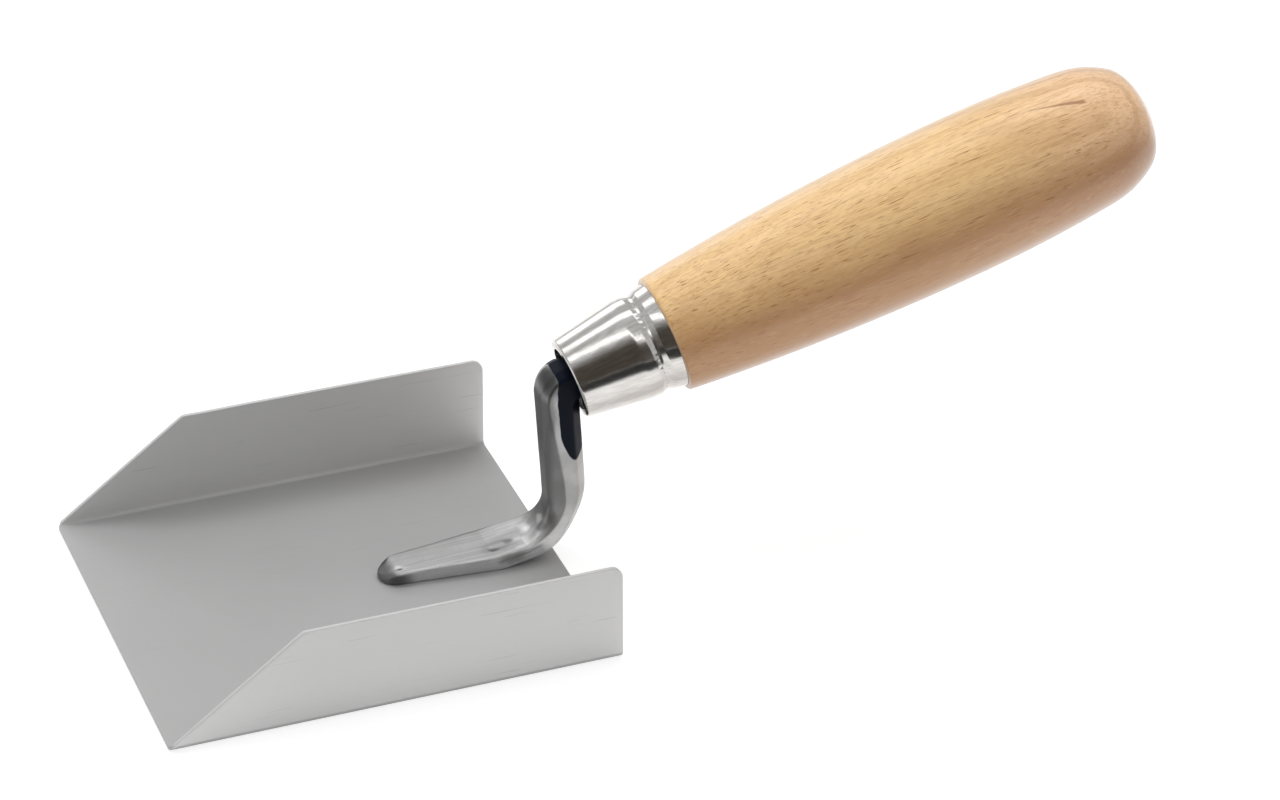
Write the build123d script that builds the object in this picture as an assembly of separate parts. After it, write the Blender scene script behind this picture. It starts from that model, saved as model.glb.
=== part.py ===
from build123d import *
import os
from math import acos, atan2, cos, degrees, hypot, radians, sin

# A box trowel: a flat pan folded from one sheet, a forged shank spot welded to
# its floor, a ferrule and a turned handle. Millimetres. The origin is the centre
# of the pan's flat underside, +X points to the handle and +Z is up.

# --- driving dimensions ---------------------------------------------------------

# Blade, folded from one sheet
sheet = 1.0
blade_length = 110.0
blade_width = 101.0
wall_height = 25.5
fold_radius = 2.0             # outside of the fold
nose_setback = 32.7           # from the front edge back to the full wall height
front_corner_radius = 2.5
nose_corner_radius = 1.5
rear_corner_radius = 3.0

# Handle axis: where it crosses the ferrule's mouth, and its angle above level
mouth_behind_blade = 5.0
mouth_height = 46.8
handle_pitch = 16.85

# Shank, one forging: reaches are measured forwards from the blade's rear edge
foot_reach = 43.9
foot_thickness = 3.5
foot_bevel = 0.7
foot_lower_bevel = 0.3
toe_half_width = 4.5
heel_half_width = 6.7
heel_reach = 14.0             # where the underside leaves the floor
heel_thickness = 4.3
heel_lift = 10.0              # degrees, of the underside behind that line
heel_rear = 8.3               # how far the heel stands behind the blade
heel_outer_radius = 16.5
heel_inner_radius = 9.0
heel_top = 6.4                # height of the foot's top where it turns upwards
neck_size = 9.9               # across the flats of the regular octagon
crook_outer_radius = 7.6      # upper bend
crook_inner_radius = 0.6
tang_length = 82.0            # from the ferrule's mouth
tang_tip_size = 4.6

# Spot welds between foot and floor
weld_diameter = 5.0
weld_depth = 0.4              # into each of the two pieces
weld_reaches = (39.0, 28.5, 18.0)

# Ferrule: its stretches follow each other along the handle axis from the mouth
ferrule_wall = 0.8
mouth_radius = 10.0
mouth_rounding = 0.35
cone_length = 16.4
cone_rounding = 6.0
barrel_length = 2.7
barrel_radius = 12.6
barrel_rounding = 1.0
groove_side_length = 1.1
groove_length = 0.7
groove_radius = 12.05
groove_rounding = 0.25
bead_length = 1.3
bead_radius = 12.7
bead_rounding = 1.5
collar_length = 3.1
collar_radius = 13.3

# Handle, measured along its axis from the ferrule
wood_length = 130.5
shoulder_radius = 14.6
shoulder_chamfer = 0.5
belly_at = 80.0
belly_radius = 19.0
butt_length = 17.5
butt_radius = 17.55           # where the butt's rounding starts
butt_curve = ((0.52, 0.865), (0.78, 0.695), (0.95, 0.346))   # shares of its length and radius
pilot_diameter = 5.0
pilot_spare = 5.0             # air left beyond the tang

# Fits
nose_fit = 0.05               # turned nose in the ferrule
tang_fit = 0.05               # tang in the wood
mouth_fit = 0.5               # neck in front of the ferrule's rim
crook_fit = 0.35              # wood behind the crook

# --- derived places --------------------------------------------------------------

blade_rear = blade_length / 2
octagon_bevel = 1 - 0.5 ** 0.5            # corner cut per unit across the flats
barrel_end = cone_length + barrel_length
groove_start = barrel_end + groove_side_length
groove_end = groove_start + groove_length
bead_at = groove_end + bead_length
ferrule_length = bead_at + collar_length

handle_plane = Plane(
    origin=(blade_rear + mouth_behind_blade, 0, mouth_height),
    x_dir=(cos(radians(handle_pitch)), 0, sin(radians(handle_pitch))),
    z_dir=(0, -1, 0),
)
handle_axis = Axis(handle_plane.origin, handle_plane.x_dir)


def on_handle(along, across):
    """A place given along the handle axis from the mouth, and across it."""
    return handle_plane.from_local_coords(Vector(along, across, 0))


# The heel's outer arc is tangent to the lifted underside. The neck's rear face
# leaves that arc on a tangent that just clears the ferrule's rim.
heel_outer_x = blade_rear + heel_rear - heel_outer_radius
heel_rise = sin(radians(heel_lift)) * (heel_outer_x - blade_rear + heel_reach)
heel_outer_centre = Vector(
    heel_outer_x, 0, sheet + (heel_outer_radius + heel_rise) / cos(radians(heel_lift))
)
rim_clear = on_handle(-mouth_fit, ferrule_wall - mouth_radius) - heel_outer_centre
neck_lean = degrees(
    atan2(rim_clear.Z, rim_clear.X) - acos(heel_outer_radius / hypot(rim_clear.X, rim_clear.Z))
)
neck_back = Vector(cos(radians(neck_lean)), 0, sin(radians(neck_lean)))
neck_rear_face = heel_outer_centre.dot(neck_back) + heel_outer_radius


def behind_and_above(behind, above):
    """The point that far along neck_back from the origin and above the handle axis."""
    up = handle_plane.y_dir
    height = handle_plane.origin.dot(up) + above
    scale = neck_back.X * up.Z - neck_back.Z * up.X
    return Vector(
        (behind * up.Z - height * neck_back.Z) / scale,
        0,
        (height * neck_back.X - behind * up.X) / scale,
    )


heel_inner_z = heel_top + heel_inner_radius
heel_inner_centre = Vector(
    (neck_rear_face - neck_size - heel_inner_radius - heel_inner_z * neck_back.Z) / neck_back.X,
    0,
    heel_inner_z,
)
crook_outer_centre = behind_and_above(
    neck_rear_face - neck_size + crook_outer_radius, neck_size / 2 - crook_outer_radius
)
crook_inner_centre = behind_and_above(
    neck_rear_face + crook_inner_radius, -neck_size / 2 - crook_inner_radius
)
nose_at = handle_plane.to_local_coords(crook_inner_centre).X + crook_fit


# --- blade -------------------------------------------------------------------------

def channel(width, height, radius):
    """A long block with its two lower edges rounded, standing on its own floor."""
    block = Box(blade_length, width, height, align=(Align.CENTER, Align.CENTER, Align.MIN))
    lower_edges = block.edges().filter_by(Axis.X).group_by(Axis.Z)[0]
    return fillet(lower_edges, radius)


def blade_side():
    """The side view of the pan, with the walls' noses cut back."""
    front = -blade_rear
    corners = [
        (front, 0),
        (blade_rear, 0),
        (blade_rear, wall_height),
        (front + nose_setback, wall_height),
        (front, sheet),
    ]
    outline = FilletPolyline(
        corners, radius=[0, 0, rear_corner_radius, nose_corner_radius, 0], close=True
    )
    return extrude(Plane.XZ * make_face(outline), blade_width, both=True)


def blade_plan():
    """The top view of the pan, with its two front corners rounded."""
    front, side = -blade_rear, blade_width / 2
    corners = [(front, -side), (blade_rear, -side), (blade_rear, side), (front, side)]
    outline = FilletPolyline(
        corners, radius=[front_corner_radius, 0, 0, front_corner_radius], close=True
    )
    return extrude(make_face(outline), wall_height)


def make_blade(welds):
    outside = channel(blade_width, wall_height, fold_radius)
    inside = channel(blade_width - 2 * sheet, wall_height, fold_radius - sheet)
    pan = outside - Pos(0, 0, sheet) * inside
    return (pan & blade_side() & blade_plan()) - welds


# --- spot welds --------------------------------------------------------------------

def make_welds():
    """One nugget per weld, half in the floor and half in the foot."""
    places = [(blade_rear - reach, 0, sheet) for reach in weld_reaches]
    nugget = Cylinder(weld_diameter / 2, 2 * weld_depth)
    return Part() + [Pos(*place) * nugget for place in places]


# --- shank -------------------------------------------------------------------------

def section(lower, upper, half_width, lower_bevel, upper_bevel):
    """An eight-cornered face from the lower or rear point to the upper or front one."""
    span = upper - lower
    depth = span.length
    across = [
        (lower_bevel, -half_width),
        (depth - upper_bevel, -half_width),
        (depth, upper_bevel - half_width),
        (depth, half_width - upper_bevel),
        (depth - upper_bevel, half_width),
        (lower_bevel, half_width),
        (0, half_width - lower_bevel),
        (0, lower_bevel - half_width),
    ]
    step = span.normalized()
    return make_face(Polyline([lower + step * up + Vector(0, y, 0) for up, y in across], close=True))


def neck_section(lower, upper):
    bevel = neck_size * octagon_bevel
    return section(lower, upper, neck_size / 2, bevel, bevel)


def foot_section(reach, thickness, half_width, set_back=0.0):
    x = blade_rear - reach
    lower = Vector(x, 0, sheet)
    upper = Vector(x - set_back, 0, sheet + thickness)
    return section(lower, upper, half_width, foot_lower_bevel, foot_bevel)


def heel_line_section():
    """Where the foot ends and the heel starts; its plane leans back to follow the bend."""
    return foot_section(heel_reach, heel_thickness, heel_half_width, heel_thickness / 2)


def foot():
    """The flat foot, from its rounded toe to the line where it leaves the floor."""
    toe_section = foot_section(foot_reach - toe_half_width, foot_thickness, toe_half_width)
    toe_centre = (blade_rear - foot_reach + toe_half_width, 0, 0)
    far_side = Box(
        foot_reach, blade_width, wall_height, align=(Align.CENTER, Align.MIN, Align.MIN)
    )
    toe = revolve(toe_section & Pos(*toe_centre) * far_side, Axis(toe_centre, (0, 0, 1)), 180)
    return toe + loft([toe_section, heel_line_section()], ruled=True)


def heel():
    """The bend from the foot up into the neck, widening from the neck to the foot."""
    steps = 4
    bevel = neck_size * octagon_bevel
    sections = [heel_line_section()]
    for step in range(1, steps + 1):
        share = step / steps
        heading = radians(heel_lift + (90 + neck_lean - heel_lift) * (step - 1) / (steps - 1))
        outwards = Vector(sin(heading), 0, -cos(heading))
        sections.append(section(
            heel_outer_centre + outwards * heel_outer_radius,
            heel_inner_centre + outwards * heel_inner_radius,
            heel_half_width + (neck_size / 2 - heel_half_width) * share,
            foot_lower_bevel + (bevel - foot_lower_bevel) * share,
            foot_bevel + (bevel - foot_bevel) * share,
        ))
    return loft(sections), sections[-1]


def crook():
    """The upper bend, from the neck's heading round to the handle's."""
    steps = 4
    sections = []
    for step in range(steps + 1):
        heading = radians(90 + neck_lean + (handle_pitch - 90 - neck_lean) * step / steps)
        outwards = Vector(-sin(heading), 0, cos(heading))
        sections.append(neck_section(
            crook_inner_centre + outwards * crook_inner_radius,
            crook_outer_centre + outwards * crook_outer_radius,
        ))
    return loft(sections), sections[0]


def tang(grow=0.0):
    """The tapered spike in the handle; grow makes the hole that holds it."""
    up = handle_plane.y_dir
    root_size = neck_size + 2 * grow
    tip_size = tang_tip_size + 2 * grow
    lower = crook_inner_centre + up * (crook_inner_radius - grow)
    upper = crook_outer_centre + up * (crook_outer_radius + grow)
    tip = tang_length + grow
    root_bevel = root_size * octagon_bevel
    tip_bevel = tip_size * octagon_bevel
    return loft([
        section(lower, upper, root_size / 2, root_bevel, root_bevel),
        section(
            on_handle(tip, -tip_size / 2), on_handle(tip, tip_size / 2),
            tip_size / 2, tip_bevel, tip_bevel,
        ),
    ], ruled=True)


def make_shank(welds):
    heel_body, neck_start = heel()
    crook_body, neck_end = crook()
    neck_body = loft([neck_start, neck_end], ruled=True)
    return foot() + heel_body + neck_body + crook_body + tang() - welds


# --- ferrule -----------------------------------------------------------------------

def ferrule_form(start, inset, start_rounding):
    """The solid inside the ferrule's outline, from that far inside the mouth, sunk by inset."""
    start_radius = mouth_radius + (barrel_radius - mouth_radius) * start / cone_length
    corners = [
        (start, start_radius, start_rounding),
        (cone_length, barrel_radius, cone_rounding),
        (barrel_end, barrel_radius, barrel_rounding),
        (groove_start, groove_radius, groove_rounding),
        (groove_end, groove_radius, groove_rounding),
        (bead_at, bead_radius, bead_rounding),
        (ferrule_length, collar_radius, 0),
    ]
    contour = [(along, radius - inset) for along, radius, rounding in corners]
    outline = FilletPolyline(
        [(start, 0), *contour, (ferrule_length, 0)],
        radius=[0, *[rounding for along, radius, rounding in corners], 0],
        close=True,
    )
    return revolve(handle_plane * make_face(outline), handle_axis)


def make_ferrule():
    return ferrule_form(0, 0, mouth_rounding) - ferrule_form(0, ferrule_wall, 0)


# --- handle ------------------------------------------------------------------------

def grip():
    """The visible wood: two long arcs to and from the belly, then the rounded butt."""
    start = ferrule_length
    butt_start = (start + wood_length - butt_length, butt_radius)
    belly = (start + belly_at, belly_radius)
    shoulder = (start + shoulder_chamfer, shoulder_radius)
    swell = TangentArc(belly, shoulder, tangent=(-1, 0))
    fall = TangentArc(belly, butt_start, tangent=(1, 0))
    butt_end = (start + wood_length, 0)
    between = [
        (butt_start[0] + along * butt_length, across * butt_radius) for along, across in butt_curve
    ]
    butt = Spline(butt_start, *between, butt_end, tangents=[fall % 1, (0, -1)])
    face_edge = Polyline(
        butt_end, (start, 0), (start, shoulder_radius - shoulder_chamfer), shoulder
    )
    return revolve(handle_plane * make_face([swell, fall, butt, face_edge]), handle_axis)


def make_handle():
    nose = ferrule_form(nose_at, ferrule_wall + nose_fit, 0)
    pilot_end = tang_length + pilot_spare
    pilot = extrude(
        Plane(on_handle(nose_at, 0), z_dir=handle_plane.x_dir) * Circle(pilot_diameter / 2),
        pilot_end - nose_at,
    )
    return grip() + nose - tang(tang_fit) - pilot


# --- write the parts ---------------------------------------------------------------

os.makedirs("parts", exist_ok=True)
spot_welds = make_welds()
nodes = {
    "blade": make_blade(spot_welds),
    "shank": make_shank(spot_welds),
    "spot_welds": spot_welds,
    "ferrule": make_ferrule(),
    "handle": make_handle(),
}
for name, shape in nodes.items():
    export_step(shape, f"parts/{name}.step")
    print(name, len(shape.solids()), round(shape.volume, 1), shape.is_valid)
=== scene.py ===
"""The looks of a box trowel: a folded pan, a forged shank, a plated ferrule and a beech handle.

Sizes are millimetres in the part's own frame, and become metres when a mesh is made. The pan's
flat underside is z = 0, +X points to the handle and -Y is the near side.
"""
from math import acos, atan2, cos, exp, hypot, pi, radians, sin, sqrt, tan

import bpy
from mathutils import Euler, Matrix, Vector, noise


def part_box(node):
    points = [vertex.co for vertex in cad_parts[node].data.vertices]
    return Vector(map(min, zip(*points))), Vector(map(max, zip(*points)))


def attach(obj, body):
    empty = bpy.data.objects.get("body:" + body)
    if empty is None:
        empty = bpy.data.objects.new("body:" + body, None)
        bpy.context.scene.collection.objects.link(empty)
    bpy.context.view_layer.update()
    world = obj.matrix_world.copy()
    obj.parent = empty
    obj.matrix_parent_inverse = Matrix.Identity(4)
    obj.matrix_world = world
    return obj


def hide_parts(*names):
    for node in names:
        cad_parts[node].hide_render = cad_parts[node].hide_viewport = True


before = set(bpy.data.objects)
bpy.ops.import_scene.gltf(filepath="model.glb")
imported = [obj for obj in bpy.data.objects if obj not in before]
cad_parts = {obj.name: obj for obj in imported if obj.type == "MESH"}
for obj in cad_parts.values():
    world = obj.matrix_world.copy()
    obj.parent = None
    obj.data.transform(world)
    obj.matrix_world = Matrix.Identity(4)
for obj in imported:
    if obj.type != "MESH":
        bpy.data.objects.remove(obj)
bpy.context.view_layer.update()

MM = 0.001

# --- sizes ------------------------------------------------------------

# Blade
_, blade_top_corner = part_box("blade")
blade_high = blade_top_corner / MM
blade_rear = blade_high.x
blade_half_width = blade_high.y
wall_height = blade_high.z
sheet = 1.0
fold_radius = 2.0
nose_setback = 32.7
front_corner_radius = 2.5
nose_corner_radius = 1.5
rear_corner_radius = 3.0
edge_rounding = 0.16

# Handle axis: where it crosses the ferrule's mouth, and its angle above level
mouth_behind_blade = 5.0
mouth_height = 46.8
handle_pitch = radians(16.85)

# Shank
foot_reach = 43.9
foot_thickness = 3.5
toe_half_width = 4.5
toe_skirt = 4.6
toe_edge_height = 1.5
foot_crown = 0.35
foot_low_cut = 0.3
foot_cut_across = 0.25
foot_cut_down = 0.2
heel_half_width = 6.7
heel_reach = 14.0
heel_thickness = 4.3
heel_lift = radians(10.0)
heel_rear = 8.3
heel_outer_radius = 16.5
heel_inner_radius = 9.0
heel_top = 6.4
neck_size = 9.9
crook_outer_radius = 7.6
crook_inner_radius = 0.6
tang_length = 82.0
tang_tip_size = 4.6
rim_clearance = 0.5
front_cut_across = 2.5
front_cut_down_low = 3.9
front_cut_down_high = 1.1
octagon_bevel = 1 - 0.5 ** 0.5

# Ferrule, along the handle axis from its mouth
ferrule_wall = 0.8
mouth_radius = 10.0
mouth_rounding = 0.75
cone_length = 16.4
cone_rounding = 6.0
barrel_radius = 12.6
barrel_end = 19.1
barrel_rounding = 1.0
groove_start = 20.2
groove_end = 20.9
groove_radius = 12.05
groove_rounding = 0.25
bead_at = 22.2
bead_radius = 12.7
bead_rounding = 1.5
ferrule_length = 25.3
collar_radius = 13.3
collar_rounding = 0.12
bead_count = 48
bead_height = 0.09
bead_from = groove_start - 0.7
bead_to = groove_start + 0.05
ferrule_segments = 288
lip_radius = 7.9
lip_thickness = 0.7

# Handle, along its axis from the ferrule
wood_length = 130.5
shoulder_radius = 14.6
shoulder_chamfer = 0.5
belly_at = 80.0
belly_radius = 19.0
butt_length = 17.5
butt_radius = 17.475
butt_curve = ((0.52, 0.865), (0.78, 0.695), (0.95, 0.346))
nose_recess = 2.4
nose_clearance = 0.05
bore_spare = 5.0
handle_segments = 192
bore_root_radius = 5.5
bore_tip_radius = 2.7

axis_x = Vector((cos(handle_pitch), 0, sin(handle_pitch)))
axis_up = Vector((-sin(handle_pitch), 0, cos(handle_pitch)))
near_side = Vector((0, -1, 0))
mouth = Vector((blade_rear + mouth_behind_blade, 0, mouth_height))

# Derived places on the pan and the foot
flat_half = blade_half_width - fold_radius
wall_middle = blade_half_width - sheet / 2
nose_slope = atan2(wall_height - sheet, nose_setback)
foot_start = blade_rear - foot_reach
toe_end = foot_start + toe_half_width
foot_flare = (heel_half_width - toe_half_width) / (foot_reach - heel_reach - toe_half_width)

# Points along each side of the shank's eight-sided section, from the top round
side_steps = (18, 6, 9, 4, 10, 4, 9, 6)

# Hammer marks and flats on the forging: place, reach along X, Y and Z, and depth.
dents = (
    (Vector((15.7, -2.2, 4.4)), (1.3, 0.8, 3.0), 0.38),
    (Vector((17.9, -0.4, 4.7)), (2.6, 1.5, 3.0), 0.18),
    (Vector((39.3, -3.3, 5.0)), (1.9, 0.9, 3.0), 0.45),
    (Vector((43.3, -2.4, 5.5)), (1.6, 1.0, 3.0), 0.42),
    (Vector((41.5, -4.2, 4.9)), (3.4, 1.1, 3.0), 0.28),
    (Vector((48.9, 1.9, 7.4)), (1.6, 2.2, 3.0), 0.40),
    (Vector((46.9, -5.6, 5.0)), (2.6, 2.0, 2.6), 0.55),
    (Vector((50.9, 3.8, 12.0)), (1.4, 3.0, 2.6), 0.30),
    (Vector((52.9, -4.6, 50.5)), (1.5, 2.0, 4.2), 0.30),
    (Vector((54.4, -4.9, 41.5)), (1.2, 2.0, 4.6), 0.22),
    (Vector((51.9, -3.6, 38.0)), (1.2, 2.0, 5.5), 0.14),
    (Vector((57.2, -5.0, 20.0)), (2.0, 2.0, 6.0), 0.18),
)
ridges = (
    (Vector((45.6, 0.6, 5.6)), (1.2, 2.4, 3.0), 0.32),
    (Vector((52.6, 0.5, 10.5)), (1.3, 1.9, 2.2), 0.25),
)

# A near-black patch on the rear of the neck's top
dark_patch_centre = (60.2, 0.0, 42.7)
dark_patch_half_width = 4.6
dark_patch_half_height = 15.6
dark_patch_slant = 0.40
dark_patch_slant_from = 9.3
dark_patch_colour = (0.004, 0.007, 0.016, 1)

# Painted shade and highlights on the forging: place, reach along X, Y and Z, grey tone, and strength
painted_spot_stray = Vector((1.4, 1.4, 1.4))
painted_spots = (
    (Vector((15.7, -2.2, 4.4)), (1.0, 0.6, 2.0), 0.06, 0.80),
    (Vector((14.6, -4.6, 1.8)), (4.2, 1.4, 2.6), 0.08, 0.55),
    (Vector((39.3, -3.3, 5.0)), (1.6, 0.75, 2.0), 0.07, 0.80),
    (Vector((43.3, -2.4, 5.5)), (1.4, 0.9, 2.0), 0.08, 0.75),
    (Vector((41.4, -2.6, 5.0)), (5.2, 2.4, 2.4), 0.25, 0.55),
    (Vector((43.5, -6.8, 3.6)), (4.5, 1.2, 1.8), 0.14, 0.55),
    (Vector((48.4, -0.5, 7.1)), (1.5, 1.3, 1.6), 0.82, 0.90),
    (Vector((45.9, -5.4, 5.9)), (2.0, 0.8, 1.6), 0.80, 0.90),
    (Vector((51.6, -0.9, 9.9)), (1.1, 1.8, 1.2), 0.97, 0.80),
    (Vector((54.3, -1.5, 48.8)), (3.4, 5.2, 5.0), 0.07, 0.90),
    (Vector((54.2, -4.5, 40.0)), (0.9, 2.0, 5.5), 0.16, 0.45),
    (Vector((53.4, -2.4, 12.8)), (1.7, 3.4, 3.4), 0.14, 0.50),
    (Vector((51.2, -3.6, 9.4)), (1.6, 1.6, 1.6), 0.12, 0.50),
)

# Pan: base greys, lowest and highest. The floor's are set darker to make up for the studio's light
floor_greys = (0.50, 0.54)
wall_greys = (0.70, 0.74)

# Wood
grain_lean = -1.8
pith_across = 36.0
pith_above = -28.0
ring_spacing = 3.1
ring_taper = 0.02
ring_fade_from = 100.0
ring_fade_to = 130.0
wood_lit = (0.89, 0.590, 0.262, 1)
wood_shaded = (0.51, 0.268, 0.118, 1)
butt_lit = (0.91, 0.59, 0.335, 1)
butt_shaded = (0.44, 0.216, 0.104, 1)
wood_dark = (0.47, 0.225, 0.066, 1)
wood_flake = (0.90, 0.64, 0.33, 1)
wood_pore = (0.36, 0.115, 0.010, 1)
nose_painted_shade = (0.020, 0.012, 0.007, 1)
wood_scar = (0.27, 0.080, 0.004, 1)
scar_at = (132.5, -6.4, 16.6)
scar_half_length = 7.0
scar_slope = -0.23
scar_half_width = 0.25
scar_widening = 0.35
scar_depth = 0.16

# Studio, in metres and radiance
dark_direction = Vector((-0.33, -0.91, 0.26)).normalized()
tent_brightness = 0.54
dark_brightness = 0.06
dark_warmth = 0.18
tent_edge = 0.62              # cosine of the angle from dark_direction where the tent darkens
dark_edge = 0.93              # and where it is darkest
backdrop_grey = 0.93
floor_albedo = 0.95
floor_white = 0.66
floor_glow = 0.10
white_level = 1.2
flag_start = -0.134
ceiling = 1.2
floor_reach = 4.0
floor_height = -0.0002        # just under the sole, so that the two don't lie in one plane
flag_low = (-1.5, -2.0)
flag_far_x = 2.0
flag_height = 0.0006
# Strips overhead: name, two ends from the mouth and width as shares of ceiling, and radiance
ceiling_strips = (
    ("front_strip", (-0.66, 0.01), (0.75, -2.01), 0.16, 1.5),
    ("rear_strip", (-0.75, 0.62), (0.75, 0.32), 0.32, 1.2),
)
back_window_at = Vector((-0.05, 1.50, 0.58))
back_window_size = (0.85, 0.60)
back_window_radiance = 1.15
# Fill lights: name, place, size and radiance
fills = (
    ("front_fill", Vector((-0.35, -1.30, 0.80)), 1.2, 0.55),
    ("top_fill", Vector((0.10, 0.50, 1.50)), 1.2, 2.7),
)

# Camera
camera_lens = 130.8
camera_azimuth = -20.857
camera_elevation = 31.408
camera_roll = 0.256
camera_target = Vector((0.07815, 0, 0.03710))
camera_distance = 1.1188


def on_handle(along, across):
    """A place along the handle axis from the mouth, and above it, in the middle plane."""
    return mouth + axis_x * along + axis_up * across


# --- small helpers ----------------------------------------------------

def smoothstep(low, high, value):
    """A smooth rise from 0 at low to 1 at high."""
    share = min(max((value - low) / (high - low), 0), 1)
    return share * share * (3 - 2 * share)


def spaced(start, end, count):
    """count + 1 evenly spaced numbers from start to end."""
    return [start + (end - start) * i / count for i in range(count + 1)]


def rounded_line(corners, steps):
    """The points of a line of (x, y, radius) corners with each inner corner turned into an arc."""
    points = [Vector(corners[0][:2])]
    for before, corner, after in zip(corners, corners[1:], corners[2:]):
        at = Vector(corner[:2])
        back = (Vector(before[:2]) - at).normalized()
        ahead = (Vector(after[:2]) - at).normalized()
        half = acos(max(-1, min(1, back.dot(ahead)))) / 2
        if not corner[2]:
            points.append(at)
            continue
        reach = corner[2] / tan(half)
        centre = at + (back + ahead).normalized() * corner[2] / sin(half)
        first = at + back * reach - centre
        turn = (pi - 2 * half) * (1 if first.cross(at + ahead * reach - centre) > 0 else -1)
        for angle in spaced(0, turn, steps):
            points.append(centre + Matrix.Rotation(angle, 2) @ first)
    points.append(Vector(corners[-1][:2]))
    return points


def curve_through(points, start_tangent, end_tangent, steps):
    """A smooth curve through 2-D points, leaving and arriving along the given directions."""
    points = [Vector(p) for p in points]
    tangents = [Vector(start_tangent).normalized()]
    for before, at, after in zip(points, points[1:], points[2:]):
        back, ahead = at - before, after - at
        slope = back * (ahead.length / back.length) + ahead * (back.length / ahead.length)
        tangents.append(slope.normalized())
    tangents.append(Vector(end_tangent).normalized())
    curve = [points[0]]
    for (a, b), (ta, tb) in zip(zip(points, points[1:]), zip(tangents, tangents[1:])):
        reach = (b - a).length
        for t in spaced(0, 1, steps)[1:]:
            s = 1 - t
            curve.append(
                a * (s * s * (1 + 2 * t)) + b * (t * t * (3 - 2 * t))
                + ta * (reach * t * s * s) - tb * (reach * t * t * s)
            )
    return curve


def add_object(name, data):
    """An object with that data, linked into the scene."""
    made = bpy.data.objects.new(name, data)
    bpy.context.scene.collection.objects.link(made)
    return made


def make_piece(name, points, faces, material, node, sharp_angle=40):
    """A mesh in metres that rides on the trowel and stands for one CAD node."""
    mesh = bpy.data.meshes.new(name)
    mesh.from_pydata([p * MM for p in points], [], faces)
    mesh.materials.append(material)
    piece = add_object(name, mesh)
    mesh.shade_smooth()
    mesh.set_sharp_from_angle(angle=radians(sharp_angle))
    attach(piece, "root")
    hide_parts(node)
    return piece


def ring_faces(ring_count, ring_size, closed_path=False):
    """The quads between neighbouring rings of points."""
    faces = []
    for ring in range(ring_count if closed_path else ring_count - 1):
        this, following = ring * ring_size, (ring + 1) % ring_count * ring_size
        for i in range(ring_size):
            j = (i + 1) % ring_size
            faces.append((this + i, this + j, following + j, following + i))
    return faces


def turned(profile, segments, closed_path):
    """The rings of a profile of (along, radius) points turned about the handle axis."""
    points = []
    for along, radius in profile:
        for step in range(segments):
            angle = 2 * pi * step / segments
            across = axis_up * cos(angle) + near_side * sin(angle)
            points.append(mouth + axis_x * along + across * radius)
    return points, ring_faces(len(profile), segments, closed_path)


# --- materials --------------------------------------------------------

class Shader:
    """A Principled material, with short calls to add and join nodes."""

    def __init__(self, name, **sockets):
        self.material = bpy.data.materials.new(name)
        self.material.use_nodes = True
        self.tree = self.material.node_tree
        self.surface = self.tree.nodes["Principled BSDF"]
        for socket, value in sockets.items():
            self.surface.inputs[socket.replace("_", " ")].default_value = value

    def node(self, kind, inputs=None, **settings):
        made = self.tree.nodes.new("ShaderNode" + kind)
        for name, value in settings.items():
            setattr(made, name, value)
        for socket, value in (inputs or {}).items():
            self.put(made.inputs[socket], value)
        return made

    def put(self, socket, value):
        if isinstance(value, bpy.types.NodeSocket):
            self.tree.links.new(value, socket)
        else:
            socket.default_value = value

    def math(self, operation, a, b=0.0, c=0.0):
        return self.node("Math", {0: a, 1: b, 2: c}, operation=operation).outputs[0]

    def between(self, value, low, high, to_low=0.0, to_high=1.0):
        """value carried smoothly from the range low..high to to_low..to_high."""
        made = self.node(
            "MapRange",
            {"Value": value, "From Min": low, "From Max": high, "To Min": to_low, "To Max": to_high},
            interpolation_type="SMOOTHSTEP",
        )
        return made.outputs["Result"]

    def mix(self, share, a, b):
        return self.node("Mix", {"Factor": share, "A": a, "B": b}, data_type="RGBA").outputs[2]

    def mix_value(self, share, a, b):
        return self.node("Mix", {"Factor": share, "A": a, "B": b}, data_type="FLOAT").outputs[0]

    def noise(self, vector, scale, detail=2.0, roughness=0.5, distortion=0.0):
        made = self.node("TexNoise", {
            "Vector": vector, "Scale": scale, "Detail": detail,
            "Roughness": roughness, "Distortion": distortion,
        })
        return made.outputs["Fac"]

    def places(self):
        """Places in millimetres in the part's frame."""
        where = self.node("TexCoord").outputs["Object"]
        return self.scaled(where, (1 / MM, 1 / MM, 1 / MM))

    def scaled(self, vector, scale):
        return self.node("Mapping", {"Vector": vector, "Scale": scale}).outputs["Vector"]

    def shifted(self, vector, offset):
        made = self.node("VectorMath", {0: vector, 1: offset}, operation="SUBTRACT")
        return made.outputs["Vector"]

    def handle_places(self):
        """Places in millimetres: along the handle axis from the mouth, across it, above it."""
        made = self.node(
            "Mapping",
            {"Vector": self.places(), "Location": mouth, "Rotation": (0, -handle_pitch, 0)},
            vector_type="TEXTURE",
        )
        return made.outputs["Vector"]

    def parts(self, vector):
        made = self.node("SeparateXYZ", {0: vector})
        return made.outputs[0], made.outputs[1], made.outputs[2]

    def bump(self, height, strength, distance_mm, below=None):
        inputs = {"Height": height, "Strength": strength, "Distance": distance_mm * MM}
        if below is not None:
            inputs["Normal"] = below
        return self.node("Bump", inputs).outputs["Normal"]

    def use(self, **sockets):
        for socket, value in sockets.items():
            self.put(self.surface.inputs[socket.replace("_", " ")], value)
        return self.material


def grey(value, warmth=0.0):
    """A colour of that linear brightness, a little warmer or cooler."""
    return (value * (1 + warmth), value, value * (1 - warmth), 1)


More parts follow.
